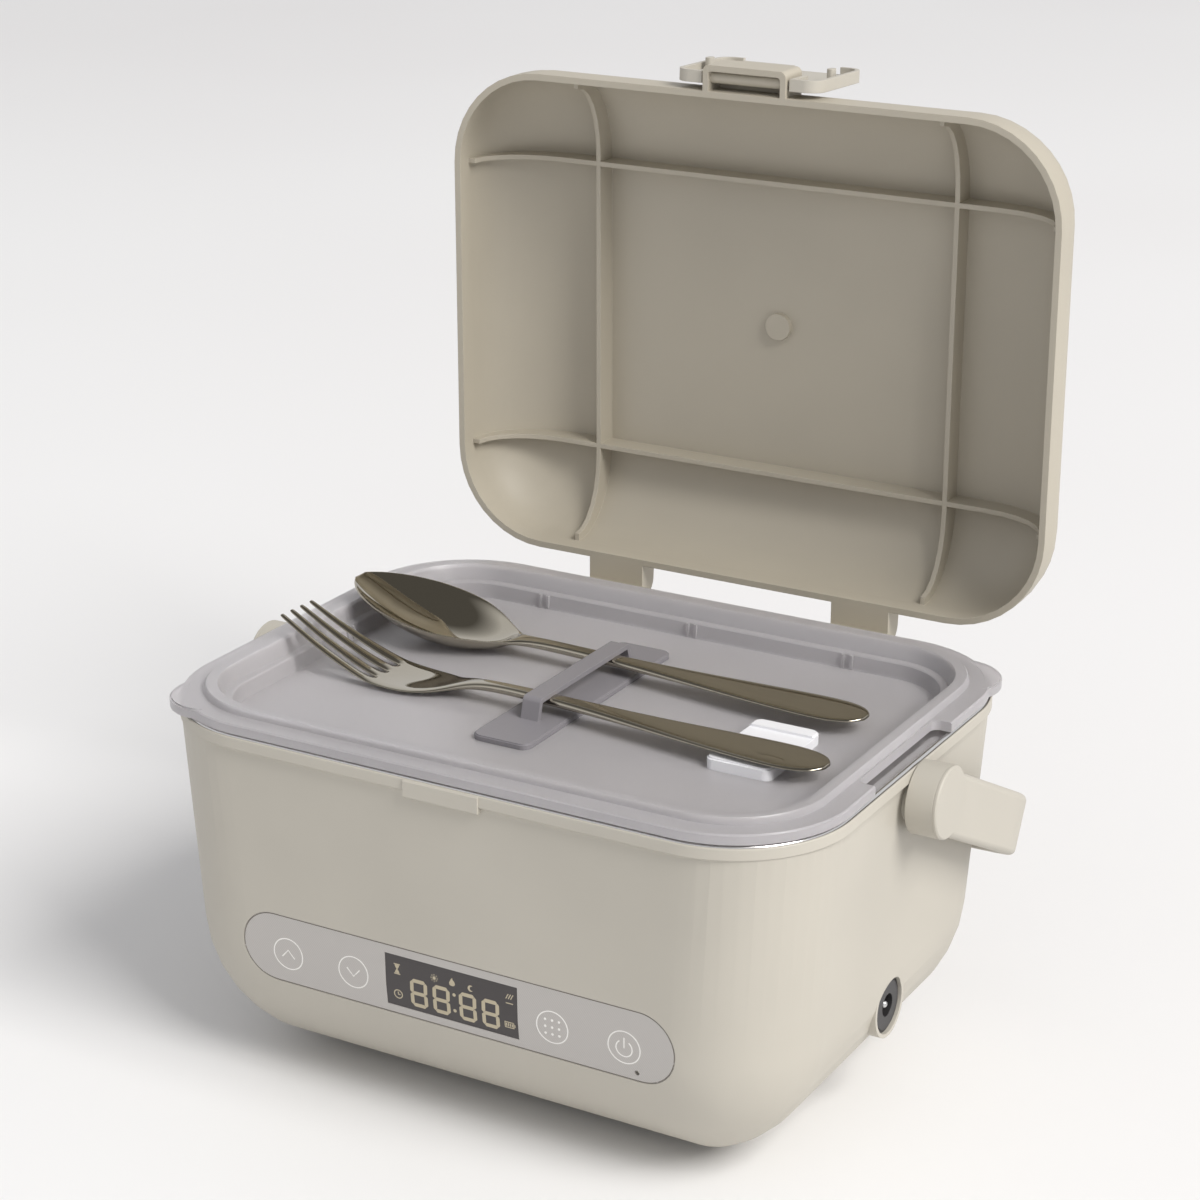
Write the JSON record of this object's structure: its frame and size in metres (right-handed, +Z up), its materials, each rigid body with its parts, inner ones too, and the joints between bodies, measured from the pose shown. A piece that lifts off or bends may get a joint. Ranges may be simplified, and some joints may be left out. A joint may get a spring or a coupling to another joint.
{
  "type": "electric lunch box",
  "caption": "Rounded heated lunch box with hinged ribbed lid, front latch, U handle, steel tray under a frosted inner lid that holds a fork and spoon.",
  "frame": {"origin": "centre of the base's footprint, on the table plane under the feet", "axes": "+Z up, +X to the right along the width, -Y towards the front with the control panel"},
  "size_m": [0.2682, 0.2428, 0.325],
  "materials": {
    "shell": "fine matt",
    "shell_dark": "matt",
    "panel": "fine weave",
    "lens": "dark, glossy",
    "dark_plastic": "matt",
    "board": "satin",
    "grey_plastic": "matt",
    "bright_metal": "bright",
    "aluminium": "satin",
    "insulation": "fibre",
    "cell_wrap": "satin film",
    "steel": "satin",
    "rubber": "matt",
    "frosted": "frosted, translucent",
    "silicone": "soft",
    "white_plastic": "smooth",
    "polished_steel": "mirror polished"
  },
  "bodies": {
    "base": {"housing": "shell", "control_panel": "panel", "display_lens": "lens", "display_module": "dark_plastic", "control_board": "board", "dc_socket": "grey_plastic", "dc_pin": "bright_metal", "inner_liner": "aluminium", "insulation": "insulation", "heating_plate": "aluminium", "temperature_sensor": "bright_metal", "thermal_fuse": "dark_plastic", "battery_tray": "dark_plastic", "battery_cells": "cell_wrap", "base_cover": "shell_dark", "cover_screws": "steel", "feet": "rubber", "hinge_pins": "steel", "handle_pins": "steel"},
    "food_tray": {"food_container": "steel"},
    "tray_lid": {"container_lid": "frosted", "lid_gasket": "silicone", "vent_valve": "white_plastic", "utensil_holder": "grey_plastic"},
    "fork_body": {"fork": "polished_steel"},
    "spoon_body": {"spoon": "polished_steel"},
    "lid": {"outer_lid": "shell", "latch_pin": "steel"},
    "latch_body": {"latch": "shell"},
    "bail": {"handle": "shell", "handle_caps": "shell"}
  },
  "joints": [
    {"name": "lid_hinge", "type": "hinge", "parent": "base", "child": "lid", "pos_m": [0, 0.1007, 0.12415], "axis": [-1, 0, 0], "range_deg": [-89.5, 0]},
    {"name": "latch_hinge", "type": "hinge", "parent": "lid", "child": "latch_body", "pos_m": [0, 0.11134, 0.32035], "axis": [-1, 0, 0], "range_deg": [-178, 0]},
    {"name": "handle_pivot", "type": "hinge", "parent": "base", "child": "bail", "pos_m": [0, 0, 0.117], "axis": [1, 0, 0], "range_deg": [0, 22]},
    {"name": "container_lift", "type": "slide", "parent": "base", "child": "food_tray", "axis": [0, 0, 1], "range_m": [0, 0.075]},
    {"name": "container_lid_lift", "type": "slide", "parent": "food_tray", "child": "tray_lid", "axis": [0, 0, 1], "range_m": [0, 0.02]},
    {"name": "fork_pull", "type": "slide", "parent": "tray_lid", "child": "fork_body", "axis": [-0.9992, 0.0401, 0], "range_m": [0, 0.01]},
    {"name": "spoon_pull", "type": "slide", "parent": "tray_lid", "child": "spoon_body", "axis": [-0.9996, 0.0297, 0], "range_m": [0, 0.006]}
  ]
}
